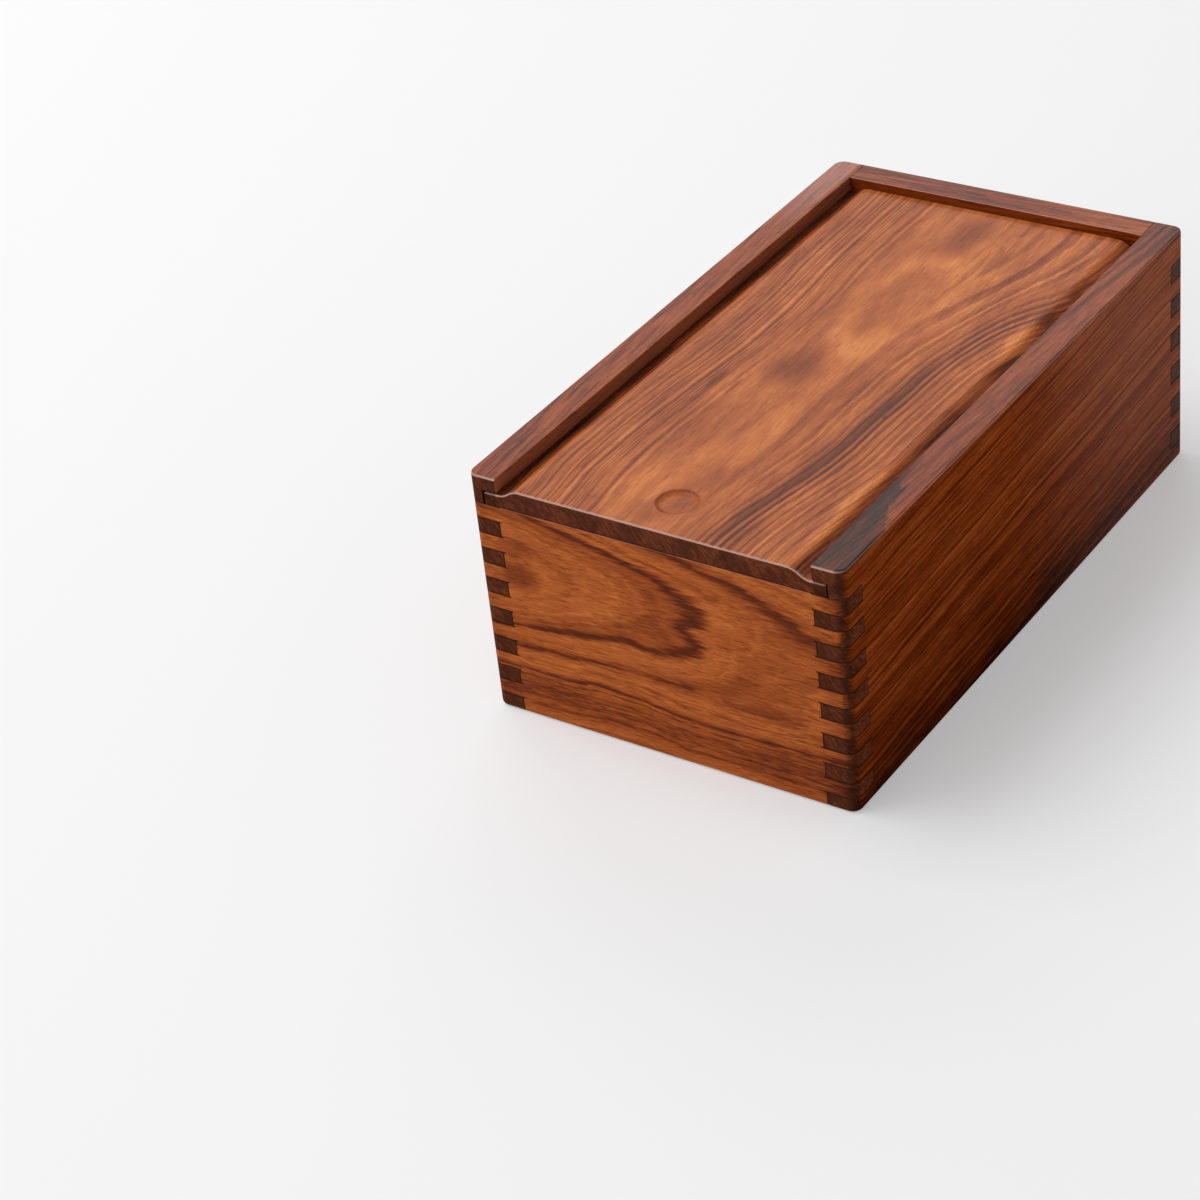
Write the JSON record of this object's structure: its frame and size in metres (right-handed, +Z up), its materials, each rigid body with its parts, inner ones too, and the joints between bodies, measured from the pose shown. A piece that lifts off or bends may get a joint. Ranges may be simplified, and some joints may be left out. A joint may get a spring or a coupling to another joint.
{
  "type": "sliding-lid chessmen box",
  "caption": "Finger-jointed hardwood box for chessmen; a moulded lid board slides in side grooves and out over the low front board; divided and lined inside.",
  "frame": {"origin": "centre of the base, at the level of the surface that the box stands on", "axes": "+Z up, +Y towards the back board along the length; the lid comes out towards -Y"},
  "size_m": [0.177, 0.306, 0.117],
  "materials": {
    "case_wood": "satin lacquer",
    "lid_wood": "satin lacquer",
    "base_wood": "bare, sanded",
    "divider_wood": "bare, sanded",
    "baize": "napped cloth"
  },
  "bodies": {
    "case": {"front_board": "case_wood", "back_board": "case_wood", "left_side_board": "case_wood", "right_side_board": "case_wood", "bottom_panel": "base_wood", "divider": "divider_wood", "front_baize": "baize", "back_baize": "baize"},
    "lid": {"sliding_lid": "lid_wood"}
  },
  "joints": [
    {"name": "lid_slide", "type": "slide", "parent": "case", "child": "lid", "axis": [0, -1, 0], "range_m": [0, 0.29]}
  ]
}
